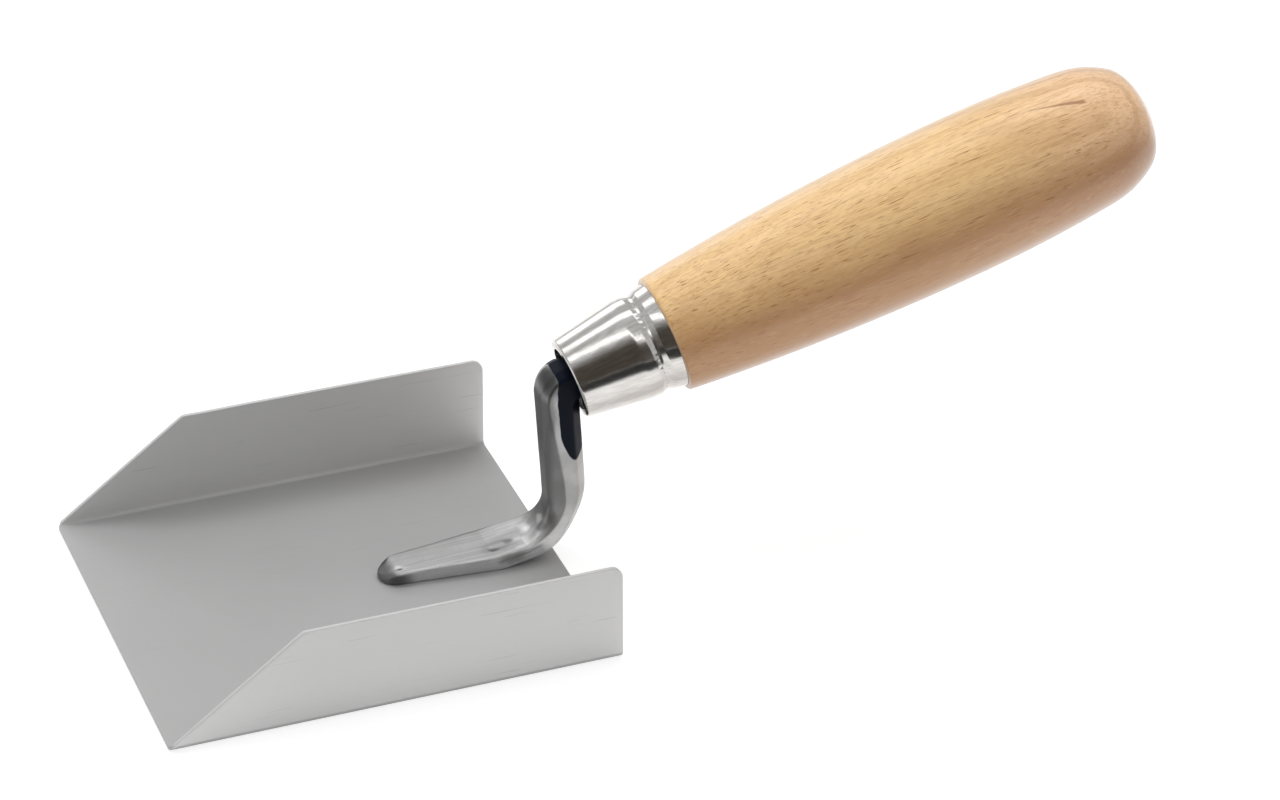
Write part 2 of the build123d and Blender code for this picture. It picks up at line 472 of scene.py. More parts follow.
def stainless_sheet():
    """Fine satin grind along the blade, soft patches and hairline scratches; a darker floor."""
    s = Shader("stainless_sheet", Metallic=0.68, Specular_IOR_Level=0.5)
    where = s.places()
    grind = s.noise(s.scaled(where, (0.25, 9, 9)), 1.0, detail=3, roughness=0.6)
    patches = s.noise(where, 0.035, detail=2)
    scratches = s.noise(s.scaled(where, (0.05, 2.2, 2.2)), 1.0, detail=1, distortion=0.4)
    hairline = s.between(scratches, 0.715, 0.73)
    shade = s.math("MULTIPLY_ADD", grind, 0.10, s.math("MULTIPLY", patches, 0.10))
    _, _, height = s.parts(where)
    on_wall = s.between(height, sheet, fold_radius)
    duller = s.mix(on_wall, grey(floor_greys[0]), grey(wall_greys[0]))
    brighter = s.mix(on_wall, grey(floor_greys[1]), grey(wall_greys[1]))
    colour = s.mix(s.between(shade, 0.04, 0.16), duller, brighter)
    colour = s.mix(s.math("MULTIPLY", hairline, 0.30), colour, grey(0.42))
    roughness = s.math("MULTIPLY_ADD", grind, 0.08, 0.53)
    return s.use(
        Base_Color=colour,
        Roughness=s.math("MULTIPLY_ADD", patches, 0.06, roughness),
        Normal=s.bump(grind, 0.08, 0.02),
    )


def forged_steel():
    """Linished forging with painted light and shade: a bright foot, darker at its side and toe, a greyer
    neck, darker at its front, painted dark and bright spots, and a near-black patch on the neck.
    """
    s = Shader("forged_steel", Specular_IOR_Level=0.1)
    where = s.places()
    mottle = s.noise(where, 0.16, detail=3, roughness=0.5)
    pores = s.noise(where, 2.4, detail=3)
    drawn = s.noise(s.scaled(where, (0.04, 1.5, 0.4)), 1.0, detail=2)
    along, across, height = s.parts(where)
    # Painted shade: the foot's side is darker than its top, and both darken towards the toe.
    side = s.mix(s.between(along, 14.5, 20.0), grey(0.18), grey(0.62))
    top = s.mix(s.between(along, 13.6, 15.6), grey(0.24), grey(0.70))
    top = s.mix(s.between(drawn, 0.38, 0.62, 0.0, 0.45), top, grey(0.50))
    # Painted shade: the far edge of the foot's top is darker
    far_edge = s.math("MULTIPLY_ADD", along, -foot_flare, across)
    edge_at = toe_half_width - foot_flare * toe_end
    far_edge_shade = s.between(far_edge, edge_at - 0.9, edge_at - 0.4)
    far_edge_shade = s.math("MULTIPLY", far_edge_shade, s.between(along, 13.0, 18.0, 0.0, 0.7))
    top = s.mix(far_edge_shade, top, grey(0.25))
    foot = s.mix(s.between(height, 3.3, 4.0), side, top)
    # Painted shade: the neck is greyer than the foot's top, and darker at its front than at its rear.
    neck = s.mix(s.between(along, 53.2, 55.4), grey(0.25), grey(0.48))
    steel = s.mix(s.between(height, 6.0, 16.0), foot, neck)
    cloud_share = s.between(height, 5.0, 15.0, 0.10, 0.32)
    cloud = s.math("MULTIPLY", s.between(mottle, 0.36, 0.64), cloud_share)
    steel = s.mix(cloud, steel, grey(0.27))
    steel = s.mix(s.between(pores, 0.60, 0.74, 0.0, 0.28), steel, grey(0.18))
    wander = s.node("TexNoise", {"Vector": where, "Scale": 0.5, "Detail": 2.0}).outputs["Color"]
    strayed = s.node("VectorMath", {0: wander, 1: painted_spot_stray, 2: where}, operation="MULTIPLY_ADD")
    # Painted shade and highlights: dark spots in the dents and on shaded facets, bright glints on facets.
    for place, reach, tone, strength in painted_spots:
        offset = s.shifted(strayed.outputs["Vector"], place + painted_spot_stray / 2)
        near = s.node("VectorMath", {0: s.scaled(offset, [1 / r for r in reach])}, operation="LENGTH")
        painted_spot = s.between(near.outputs["Value"], 1.25, 0.35, 0.0, strength)
        steel = s.mix(painted_spot, steel, grey(tone))
    dark = dark_patch_mask(s, where)
    roughness = s.math("MULTIPLY_ADD", mottle, 0.10, 0.30)
    return s.use(
        Base_Color=s.mix(dark, steel, dark_patch_colour),
        Metallic=s.between(dark, 0.0, 1.0, 1.0, 0.0),
        Roughness=s.math("MULTIPLY_ADD", dark, 0.10, roughness),
        Normal=s.bump(pores, 0.10, 0.03, s.bump(drawn, 0.12, 0.08)),
    )


def dark_patch_mask(s, where):
    """The near-black patch: the neck's rear half from a round lower end up into the ferrule."""
    wander = s.math("SUBTRACT", s.noise(where, 0.25, detail=1), 0.5)
    along, _, height = s.parts(s.shifted(where, dark_patch_centre))
    rise = s.math("MAXIMUM", s.math("SUBTRACT", height, dark_patch_slant_from), 0.0)
    edge = s.math("MULTIPLY_ADD", rise, -dark_patch_slant, s.math("MULTIPLY_ADD", wander, 0.8, along))
    across = s.math("DIVIDE", edge, dark_patch_half_width)
    ahead = s.math("MINIMUM", across, 0.0)
    below = s.math("DIVIDE", s.math("MINIMUM", height, 0.0), dark_patch_half_height)
    lower = s.math("ADD", s.math("MULTIPLY", across, across), s.math("MULTIPLY", below, below))
    upper = s.math("MULTIPLY", ahead, ahead)
    reach = s.mix_value(s.between(height, -0.5, 0.5), lower, upper)
    return s.between(reach, 1.06, 0.98)


def plated_steel():
    """Bright plating: a fine grain, and faint lines along the axis."""
    s = Shader("plated_steel", Metallic=1.0)
    where = s.handle_places()
    grain = s.noise(where, 2.4, detail=3, roughness=0.6)
    draw = s.noise(s.scaled(where, (0.12, 1.6, 1.6)), 1.0, detail=2)
    colour = s.mix(s.between(draw, 0.3, 0.7), (0.66, 0.64, 0.615, 1), (0.78, 0.765, 0.745, 1))
    return s.use(
        Base_Color=colour,
        Roughness=s.math("MULTIPLY_ADD", grain, 0.08, 0.12),
        Normal=s.bump(grain, 0.30, 0.040, s.bump(draw, 0.08, 0.05)),
    )


def weld_metal():
    """Weld nuggets: rippled, with straw and blue heat tint."""
    s = Shader("weld_metal", Metallic=1.0)
    where = s.places()
    ripples = s.node("TexWave", {"Vector": where, "Scale": 0.35, "Distortion": 2.0}, wave_type="RINGS")
    tint = s.noise(where, 0.4)
    colour = s.mix(s.between(tint, 0.35, 0.65), (0.42, 0.34, 0.22, 1), (0.22, 0.26, 0.36, 1))
    return s.use(
        Base_Color=colour,
        Roughness=s.math("MULTIPLY_ADD", tint, 0.2, 0.35),
        Normal=s.bump(ripples.outputs["Fac"], 0.3, 0.05),
    )


def beech():
    """Lacquered beech: slow rings, fine streaks, short thin pores along the grain, and painted light and
    shade, lit above and shaded below.
    """
    s = Shader(
        "beech", Coat_Weight=1.0, Coat_Roughness=0.28, Coat_IOR=1.5, Specular_IOR_Level=0.4,
        Sheen_Weight=1.0, Sheen_Roughness=0.34, Sheen_Tint=(1.0, 0.96, 0.94, 1),
    )
    where = s.handle_places()
    # The grain runs a little off the axis, and sways.
    lean = s.node("Mapping", {"Vector": where, "Rotation": (0, radians(grain_lean), radians(1.2))})
    grain = lean.outputs["Vector"]
    along, across, above = s.parts(grain)
    sway = s.noise(s.scaled(grain, (0.02, 0.02, 0.02)), 1.0, detail=1)
    swayed = s.math("MULTIPLY_ADD", sway, 9.0, above)
    ring_x = s.math("SUBTRACT", across, pith_across)
    ring_z = s.math("SUBTRACT", swayed, pith_above)
    square = s.math("ADD", s.math("MULTIPLY", ring_x, ring_x), s.math("MULTIPLY", ring_z, ring_z))
    distance = s.math("MULTIPLY_ADD", along, ring_taper, s.math("SQRT", square))
    waver = s.noise(s.scaled(grain, (0.03, 0.12, 0.12)), 1.0, detail=2)
    turns = s.math("MULTIPLY", s.math("MULTIPLY_ADD", waver, 3.2, distance), 2 * pi / ring_spacing)
    late = s.between(s.math("SINE", turns), 0.1, 1.0)
    # Base colour: painted light and shade, lit yellow tan above to shaded pinkish brown below, over
    # rings, streaks and slow patches of real tone
    depth, _, _ = s.parts(where)
    patches = s.noise(s.scaled(grain, (0.02, 0.07, 0.07)), 1.0, detail=2)
    level = s.math("MULTIPLY_ADD", patches, 14.0, s.math("MULTIPLY_ADD", across, 0.35, above))
    near_butt = s.between(depth, 105.0, 150.0)
    shaded = s.mix(near_butt, wood_shaded, butt_shaded)
    colour = s.mix(s.between(level, 6.5, 20.5), shaded, s.mix(near_butt, wood_lit, butt_lit))
    ring_share = s.between(depth, ring_fade_from, ring_fade_to, 0.09, 0.32)
    colour = s.mix(s.math("MULTIPLY", late, ring_share), colour, wood_dark)
    streaks = s.noise(s.scaled(grain, (0.05, 1.5, 1.5)), 1.0, detail=4, roughness=0.65)
    colour = s.mix(s.between(streaks, 0.44, 0.66, 0.0, 0.38), colour, wood_dark)
    # Rays: small pale flakes. Pores: short thin dashes, denser in some rows
    flake = s.noise(s.scaled(grain, (0.30, 2.6, 2.6)), 1.0, detail=2)
    colour = s.mix(s.between(flake, 0.56, 0.68, 0.0, 0.14), colour, wood_flake)
    fine = s.noise(s.scaled(grain, (0.5, 4.0, 4.0)), 1.0, detail=2)
    colour = s.mix(s.between(fine, 0.48, 0.68, 0.0, 0.30), colour, wood_dark)
    dashes = s.noise(s.scaled(grain, (0.17, 3.9, 3.9)), 1.0, detail=0)
    rows = s.noise(s.scaled(grain, (0.05, 0.3, 0.3)), 1.0, detail=1)
    over = s.math("SUBTRACT", dashes, s.between(rows, 0.3, 0.7, 0.735, 0.70))
    pore = s.between(over, 0.0, 0.045)
    pore_share = s.between(depth, 136.0, 150.0, 0.78, 0.20)
    colour = s.mix(s.math("MULTIPLY", pore, pore_share), colour, wood_pore)
    scar = scar_mask(s, where)
    colour = s.mix(s.math("MULTIPLY", scar, 0.68), colour, wood_scar)
    # Painted shade: the nose inside the ferrule is nearly black, so the mouth reads as a dark gap
    colour = s.mix(s.between(depth, ferrule_length - 2.0, ferrule_length - 2.5), colour, nose_painted_shade)
    return s.use(
        Base_Color=colour,
        Roughness=s.math("MULTIPLY_ADD", streaks, 0.12, 0.45),
        Normal=s.bump(fine, 0.10, 0.02, s.bump(pore, -0.12, 0.04)),
        Coat_Normal=s.bump(fine, 0.05, 0.02),
    )


def scar_mask(s, where):
    """A thin tear in the wood beside the butt, widest at its rear end."""
    along, across, above = s.parts(s.shifted(where, scar_at))
    off_line = s.math("ABSOLUTE", s.math("MULTIPLY_ADD", along, -scar_slope, across))
    width = s.between(along, -scar_half_length, scar_half_length, 0.12, 0.62)
    line = s.between(s.math("DIVIDE", off_line, width), 1.0, 0.45)
    ends = s.between(s.math("ABSOLUTE", along), scar_half_length, scar_half_length - 0.8)
    outside = s.between(above, -6.0, -5.0)
    return s.math("MULTIPLY", s.math("MULTIPLY", line, ends), outside)


# --- blade ------------------------------------------------------------

def front_limit(across, height, inset):
    """Where the sheet starts: the front edge, its round corners and the nose's slope."""
    front = -blade_rear + inset
    if across > flat_half:
        radius = front_corner_radius - inset
        reach = min(across - flat_half, radius)
        front = -blade_rear + front_corner_radius - sqrt(radius * radius - reach * reach)
    if height > sheet:
        slope = -blade_rear + (height - sheet) / tan(nose_slope) + inset / sin(nose_slope)
        centre_z = wall_height - nose_corner_radius
        centre_x = -blade_rear + nose_setback + nose_corner_radius * tan(nose_slope / 2)
        radius = nose_corner_radius - inset
        rise = height - centre_z
        if rise > radius * cos(nose_slope):
            slope = centre_x - sqrt(max(radius * radius - rise * rise, 0))
        front = max(front, slope)
    return front


def rear_limit(height, inset):
    """Where the sheet ends at that height: the rear edge and the wall's round top corner."""
    radius = rear_corner_radius - inset
    rise = height - (wall_height - rear_corner_radius)
    if rise <= 0:
        return blade_rear - inset
    return blade_rear - rear_corner_radius + sqrt(max(radius * radius - rise * rise, 0))


def sheet_rows():
    """Rows across the sheet from one wall's top to the other's: (kind, value, side)."""
    top = [("corner", angle) for angle in spaced(pi / 2, 0, 9)]
    wall = [("wall", z) for z in spaced(wall_height - rear_corner_radius, fold_radius, 10)[1:]]
    fold = [("fold", angle) for angle in spaced(pi / 2, 0, 8)[1:]]
    half = [(kind, value, 1) for kind, value in top + wall + fold]
    floor = [("floor", y, 1) for y in spaced(flat_half, -flat_half, 48)[1:-1]]
    return half + floor + [(kind, value, -1) for kind, value, _ in reversed(half)]


def sheet_place(row, out, inset):
    """(across, height, outward across, outward height) at a row, out from the sheet's middle."""
    kind, value, side = row
    if kind == "floor":
        return value, sheet / 2 - out, 0, -1
    if kind == "fold":
        radius = fold_radius - sheet / 2 + out
        return (
            side * (flat_half + radius * sin(value)), fold_radius - radius * cos(value),
            side * sin(value), -cos(value),
        )
    height = value
    if kind == "corner":
        height = wall_height - rear_corner_radius + (rear_corner_radius - inset) * sin(value)
    return side * (wall_middle + out), height, side, 0


def sheet_wave(x, across, height):
    """How far the sheet's unevenness moves a place inwards."""
    slow = noise.noise(Vector((x * 0.022, across * 0.022, height * 0.05 + 3.1)))
    lean = smoothstep(fold_radius, wall_height, height)
    near_rear = smoothstep(22, blade_rear, x) * lean
    bulge = exp(-((x + 16) / 9) ** 2) * smoothstep(12, wall_height, height)
    return 0.08 * (slow + 1) * lean + 0.22 * near_rear + 0.15 * bulge * (across > 0)


def sheet_point(row, share, out, inset):
    """A point that share of the way from front to rear along a row, with the sheet's waves."""
    across, height, out_y, out_z = sheet_place(row, out, inset)
    front = front_limit(abs(across), height, inset)
    rear = rear_limit(height, inset)
    x = front + (rear - front) * share
    move = sheet_wave(x, across, height)
    return Vector((x, across - out_y * move, height - out_z * move))


def make_blade():
    """The folded sheet as two skins of quads, joined round the rim by a rounded edge."""
    rows = sheet_rows()
    columns = spaced(0, 1, 56)
    half = sheet / 2
    points = []
    for side in (1, -1):
        for row in rows:
            points += [sheet_point(row, share, side * half, edge_rounding) for share in columns]
    width = len(columns)
    skin = len(rows) * width
    faces = []
    for r in range(len(rows) - 1):
        for c in range(width - 1):
            a, b = r * width + c, r * width + c + 1
            quad = (a, b, b + width, a + width)
            faces.append(quad)
            faces.append(tuple(i + skin for i in reversed(quad)))
    # The rim goes round the outline once; each of its rings is one place on the rounded edge.
    last = len(rows) - 1
    loop = [(0, c) for c in range(width)]
    loop += [(r, width - 1) for r in range(1, len(rows))]
    loop += [(last, c) for c in range(width - 2, -1, -1)]
    loop += [(r, 0) for r in range(last - 1, 0, -1)]
    corner = [
        (edge_rounding * (1 - sin(a)), half - edge_rounding * (1 - cos(a)))
        for a in spaced(0, pi / 2, 3)
    ]
    profile = corner[1:] + [(inset, -out) for inset, out in reversed(corner[1:])]
    rings = [[r * width + c for r, c in loop]]
    for inset, out in profile:
        rings.append([len(points) + i for i in range(len(loop))])
        points += [sheet_point(rows[r], columns[c], out, inset) for r, c in loop]
    rings.append([skin + r * width + c for r, c in loop])
    for this, following in zip(rings, rings[1:]):
        for i in range(len(loop)):
            j = (i + 1) % len(loop)
            faces.append((this[j], this[i], following[i], following[j]))
    return make_piece("pan", points, faces, stainless_sheet(), "blade", 60)


# --- shank ------------------------------------------------------------

def meeting(behind, above, back):
    """The point that far along back from the origin and above the handle axis."""
    height = mouth.dot(axis_up) + above
    scale = back.x * axis_up.z - back.z * axis_up.x
    return Vector((
        (behind * axis_up.z - height * back.z) / scale,
        0,
        (height * back.x - behind * axis_up.x) / scale,
    ))


def shank_arcs():
    """The centres of the shank's four bends and the neck's lean, as the forging is laid out."""
    outer_x = blade_rear + heel_rear - heel_outer_radius
    rise = sin(heel_lift) * (outer_x - blade_rear + heel_reach)
    outer = Vector((outer_x, 0, sheet + (heel_outer_radius + rise) / cos(heel_lift)))
    rim = on_handle(-rim_clearance, ferrule_wall - mouth_radius) - outer
    lean = atan2(rim.z, rim.x) - acos(heel_outer_radius / hypot(rim.x, rim.z))
    back = Vector((cos(lean), 0, sin(lean)))
    rear_face = outer.dot(back) + heel_outer_radius
    inner_z = heel_top + heel_inner_radius
    inner_x = (rear_face - neck_size - heel_inner_radius - inner_z * back.z) / back.x
    inner = Vector((inner_x, 0, inner_z))
    front_face = rear_face - neck_size
    half_neck = neck_size / 2
    crook_outer = meeting(front_face + crook_outer_radius, half_neck - crook_outer_radius, back)
    crook_inner = meeting(rear_face + crook_inner_radius, -half_neck - crook_inner_radius, back)
    return outer, inner, crook_outer, crook_inner, lean


def station(lower, upper, half_width, lower_bevel, upper_bevel, rounding, crown=0.0):
    """One cross-section: its lowest and highest points, half width, corner cuts and crown."""
    return {
        "lower": lower, "upper": upper, "half": half_width, "lower_bevel": lower_bevel,
        "upper_bevel": upper_bevel, "rounding": rounding, "crown": crown,
    }


def foot_stations():
    """From the toe's tip to the line where the foot leaves the floor."""
    found = []
    total = foot_reach - heel_reach
    lengths = [toe_half_width * (1 - cos(a)) for a in spaced(radians(9), pi / 2, 16)]
    lengths += spaced(toe_half_width, total, 62)[1:]
    for length in lengths:
        past_toe = max(length - toe_half_width, 0) / (total - toe_half_width)
        widening = 0.65 * past_toe + 0.35 * smoothstep(0, 1, past_toe)
        half = toe_half_width + (heel_half_width - toe_half_width) * widening
        if length < toe_half_width:
            half = sqrt(toe_half_width ** 2 - (toe_half_width - length) ** 2)
        skirt = smoothstep(-0.3 * toe_skirt, toe_skirt, length)
        crown = foot_crown * smoothstep(0.3 * toe_skirt, 1.1 * toe_skirt, length)
        full = foot_thickness + (heel_thickness - foot_thickness) * past_toe
        edge_height = toe_edge_height + (full - foot_crown - toe_edge_height) * skirt
        lean = heel_thickness / 2 * smoothstep(total * 0.5, total, length)
        slope = 1 - smoothstep(0.25 * toe_skirt, 1.25 * toe_skirt, length)
        found.append(station(
            Vector((foot_start + length, 0, sheet)),
            Vector((foot_start + length - lean, 0, sheet + edge_height)),
            half, (foot_low_cut, foot_low_cut),
            (min(foot_cut_across + 2.2 * slope, half * 0.5), foot_cut_down + 0.5 * slope),
            0.22 + 0.3 * slope, crown,
        ))
    return found


def bend_stations(steps, first, last, outer, outer_radius, inner, inner_radius, outer_is_upper):
    """Cross-sections fanned round two arcs, from one heading to another."""
    found = []
    for step in range(steps + 1):
        heading = first + (last - first) * step / steps
        side = -1 if outer_is_upper else 1
        away = Vector((side * sin(heading), 0, -side * cos(heading)))
        a = outer + away * outer_radius
        b = inner + away * inner_radius
        found.append((b, a) if outer_is_upper else (a, b))
    return found


def shank_stations():
    """Every cross-section in order: foot, heel bend, neck, crook and tang."""
    outer, inner, crook_outer, crook_inner, lean = shank_arcs()
    bevel = neck_size * octagon_bevel
    neck_half = neck_size / 2
    upright = pi / 2 + lean
    found = foot_stations()
    heel = bend_stations(
        40, heel_lift, upright, outer, heel_outer_radius, inner, heel_inner_radius, False
    )
    heel_half = found[-1]["half"]
    for index, (lower, upper) in enumerate(heel):
        way = index / (len(heel) - 1)
        share = smoothstep(-0.25, 1, way)
        flat = 1 - smoothstep(0, 0.45, way)
        drop = (upper - lower).normalized() * foot_crown * flat
        low_cut = foot_low_cut + (bevel - foot_low_cut) * smoothstep(0, 0.7, way)
        cut_across = foot_cut_across + (front_cut_across - foot_cut_across) * share
        cut_down = foot_cut_down + (front_cut_down_low - foot_cut_down) * share
        found.append(station(
            lower, upper - drop, heel_half + (neck_half - heel_half) * share,
            (low_cut, low_cut), (cut_across, cut_down),
            0.25 + 1.25 * smoothstep(-0.1, 0.4, way), foot_crown * flat,
        ))
    crook = bend_stations(
        26, upright, handle_pitch,
        crook_outer, crook_outer_radius, crook_inner, crook_inner_radius, True,
    )
    neck_from, neck_to = found[-1], crook[0]
    for share in spaced(0, 1, 44)[1:-1]:
        change = front_cut_down_high - front_cut_down_low
        down = front_cut_down_low + change * smoothstep(0, 1, share)
        found.append(station(
            neck_from["lower"].lerp(neck_to[0], share), neck_from["upper"].lerp(neck_to[1], share),
            neck_half, (bevel, bevel), (front_cut_across, down), 1.4,
        ))
    for lower, upper in crook:
        found.append(station(
            lower, upper, neck_half, (bevel, bevel), (front_cut_across, front_cut_down_high), 1.2,
        ))
    root = found[-1]
    tip_half = tang_tip_size / 2
    for share in spaced(0, 1, 24)[1:]:
        cut = bevel + (tang_tip_size * octagon_bevel - bevel) * share
        found.append(station(
            root["lower"].lerp(on_handle(tang_length, -tip_half), share),
            root["upper"].lerp(on_handle(tang_length, tip_half), share),
            neck_half + (tip_half - neck_half) * share, (cut, cut), (cut, cut), 0.6,
        ))
    return found


def rounding_reach(before, corner, after, radius):
    """How far from a corner its rounding starts, kept clear of the neighbouring corners."""
    back, ahead = before - corner, after - corner
    angle = acos(max(-1, min(1, back.normalized().dot(ahead.normalized()))))
    return min(radius / tan(angle / 2), 0.42 * back.length, 0.42 * ahead.length)


def section_outline(s):
    """The closed outline of a station as (across, up) points, always with as many points."""
    depth = (s["upper"] - s["lower"]).length
    half = s["half"]
    low_in, low_up = s["lower_bevel"]
    top_in, top_down = s["upper_bevel"]
    corners = [
        (-half + top_in, depth), (half - top_in, depth), (half, depth - top_down), (half, low_up),
        (half - low_in, 0), (-half + low_in, 0), (-half, low_up), (-half, depth - top_down),
    ]
    corners = [Vector(c) for c in corners]
    following = corners[1:] + corners[:1]
    reaches = [
        rounding_reach(corners[i - 1], corners[i], following[i], s["rounding"])
        for i in range(len(corners))
    ]
    outline = []
    for i, corner in enumerate(corners):
        after = following[i]
        start = corner + (corners[i - 1] - corner).normalized() * reaches[i]
        end = corner + (after - corner).normalized() * reaches[i]
        for t in spaced(0, 1, 4):
            outline.append(start.lerp(corner, t).lerp(corner.lerp(end, t), t))
        stop = after + (corner - after).normalized() * reaches[(i + 1) % len(corners)]
        for t in spaced(0, 1, side_steps[i])[1:-1]:
            outline.append(end.lerp(stop, t))
    return outline


def forged(point, inwards):
    """A place on the forging, moved by the hammer marks, ridges and slow unevenness."""
    move = 0.07 * noise.noise(point * 0.14) + 0.015 * noise.noise(point * 0.5)
    for places, sign in ((dents, 1), (ridges, -1)):
        for centre, reach, depth in places:
            d = point - centre
            near = (d.x / reach[0]) ** 2 + (d.y / reach[1]) ** 2 + (d.z / reach[2]) ** 2
            if near < 9:
                move += sign * depth * exp(-near)
    return point + inwards * move


def make_shank():
    """The forging as rings of points through its stations, closed at the toe and the tang's tip."""
    stations = shank_stations()
    points = []
    size = 0
    for s in stations:
        span = s["upper"] - s["lower"]
        depth = span.length
        up = span.normalized()
        middle = s["lower"] + span / 2
        outline = section_outline(s)
        size = len(outline)
        for across, height in outline:
            upper_share = smoothstep(0.55, 0.98, height / depth)
            lift = s["crown"] * upper_share * (1 - (across / s["half"]) ** 2)
            crease = 0.2 * s["crown"] * upper_share * max(0, 1 - abs(across + 0.9) / 1.1)
            point = s["lower"] + up * (height + lift + crease) + Vector((0, -across, 0))
            inwards = middle - point
            inwards.y *= 1.6
            if s["crown"] > 0 and height > depth * 0.6:
                inwards = -up
            inwards.normalize()
            flat_on_floor = height < 0.31 and point.x < blade_rear - heel_reach
            points.append(point if flat_on_floor else forged(point, inwards))
    faces = ring_faces(len(stations), size)
    last = (len(stations) - 1) * size
    faces.append(tuple(reversed(range(size))))
    faces.append(tuple(last + i for i in range(size)))
    return make_piece("forged_shank", points, faces, forged_steel(), "shank", 75)


# --- ferrule ----------------------------------------------------------

def ferrule_contour(inset, start, start_rounding, end_rounding, steps):
    """The ferrule's outline from its mouth to its collar, sunk by inset."""
    corners = [
        (start, mouth_radius - 1.0 - inset, 0),
        (start, mouth_radius - inset, start_rounding),
        (cone_length, barrel_radius - inset, cone_rounding),
        (barrel_end, barrel_radius - inset, barrel_rounding),
        (groove_start, groove_radius - inset, groove_rounding),
        (groove_end, groove_radius - inset, groove_rounding),
        (bead_at, bead_radius - inset, bead_rounding),
        (ferrule_length, collar_radius - inset, end_rounding),
        (ferrule_length, collar_radius - 1.0 - inset, 0),
    ]
    return rounded_line(corners, steps)[1:-1]


def make_ferrule():
    """The plated cap with its lip, and a row of small beads in front of the groove."""
    outside = [Vector((0, lip_radius))] + ferrule_contour(0, 0, mouth_rounding, collar_rounding, 8)
    inside = [Vector((lip_thickness, lip_radius))] + ferrule_contour(ferrule_wall, lip_thickness, 0, 0, 4)
    profile = outside + list(reversed(inside))
    points, faces = turned(profile, ferrule_segments, True)
    for i, point in enumerate(points):
        along, radius = profile[i // ferrule_segments]
        if radius > groove_radius - 0.1 and bead_from < along < bead_to:
            angle = 2 * pi * (i % ferrule_segments) / ferrule_segments
            outwards = (point - mouth - axis_x * along).normalized()
            points[i] = point + outwards * bead_height * sin(bead_count * angle)
    return make_piece("ferrule_shell", points, faces, plated_steel(), "ferrule", 50)


# --- handle -----------------------------------------------------------

def arc_radius(along, reach, drop):
    """The wood's radius that far from the belly, on an arc that drops by drop over reach."""
    bend = (reach * reach + drop * drop) / (2 * drop)
    return belly_radius - (bend - sqrt(bend * bend - along * along))


def wood_outline():
    """The visible wood from the ferrule to the butt's end, as (along, radius) from the mouth."""
    start = ferrule_length
    belly = start + belly_at
    butt_start = start + wood_length - butt_length
    shoulder = start + shoulder_chamfer
    swell, fall = belly - shoulder, butt_start - belly
    points = [Vector((start, shoulder_radius - shoulder_chamfer))]
    points.append(points[0] + Vector((0.12, 0.20)))
    points.append(points[0] + Vector((0.32, 0.42)))
    for along in spaced(-swell, 0, 60):
        radius = arc_radius(along, swell, belly_radius - shoulder_radius)
        points.append(Vector((belly + along, radius)))
    for along in spaced(0, fall, 26)[1:-1]:
        radius = arc_radius(along, fall, belly_radius - butt_radius)
        points.append(Vector((belly + along, radius)))
    bend = (fall ** 2 + (belly_radius - butt_radius) ** 2) / (2 * (belly_radius - butt_radius))
    shares = [(0, 1), *butt_curve, (1, 0)]
    through = [(butt_start + a * butt_length, r * butt_radius) for a, r in shares]
    slope = Vector((sqrt(bend * bend - fall * fall), -fall))
    return points + curve_through(through, slope, (0, -1), 12)[:-1]


def make_handle():
    """The turned wood with its nose in the ferrule and the bore that holds the tang."""
    bore_end = tang_length + bore_spare
    bore = [Vector((bore_end, 0.3)), Vector((bore_end, bore_tip_radius))]
    bore += [
        Vector((along, bore_tip_radius + (bore_root_radius - bore_tip_radius) * (1 - along / bore_end)))
        for along in spaced(bore_end - 4, nose_recess, 20)
    ]
    nose = ferrule_contour(ferrule_wall + nose_clearance, 0, 0, 0, 4)
    nose[0] = nose[0].lerp(nose[1], nose_recess / nose[1].x)
    nose.insert(0, nose[0] - Vector((0, 0.3)))
    profile = bore + nose + wood_outline()
    points, faces = turned(profile, handle_segments, False)
    last = (len(profile) - 1) * handle_segments
    tip = on_handle(ferrule_length + wood_length, 0)
    points.append(tip)
    for i in range(handle_segments):
        faces.append((last + i, last + (i + 1) % handle_segments, len(points) - 1))
    faces.append(tuple(reversed(range(handle_segments))))
    scar_centre = Vector(scar_at)
    for i, point in enumerate(points):
        local = point - mouth
        here = Vector((local.dot(axis_x), -local.dot(near_side), local.dot(axis_up)))
        d = here - scar_centre
        if abs(d.x) < scar_half_length + 1 and abs(d.y) < 2.5 and here.z > 0:
            widening = smoothstep(-scar_half_length, scar_half_length, d.x)
            width = scar_half_width + scar_widening * widening
            near = ((d.y - scar_slope * d.x) / width) ** 2 + (d.x / scar_half_length) ** 6
            centre_line = mouth + axis_x * here.x
            points[i] = point + (centre_line - point).normalized() * scar_depth * exp(-near)
    return make_piece("turned_handle", points, faces, beech(), "handle", 40)


# --- studio -----------------------------------------------------------

def aim(thing, place, target):
    """Puts a light or the camera at a place in metres, looking at a target."""
    thing.location = place
    thing.rotation_euler = (Vector(target) - Vector(place)).to_track_quat("-Z", "Y").to_euler()


def softbox(name, place, target, width, length, radiance):
    """A rectangular area light of that brightness, not seen by the camera."""
    light = bpy.data.lights.new(name, "AREA")
    light.shape = "RECTANGLE"
    light.size = width
    light.size_y = length
    light.energy = radiance * pi * width * length
    box = add_object(name, light)
    aim(box, place, target)
    box.visible_camera = False
    return box


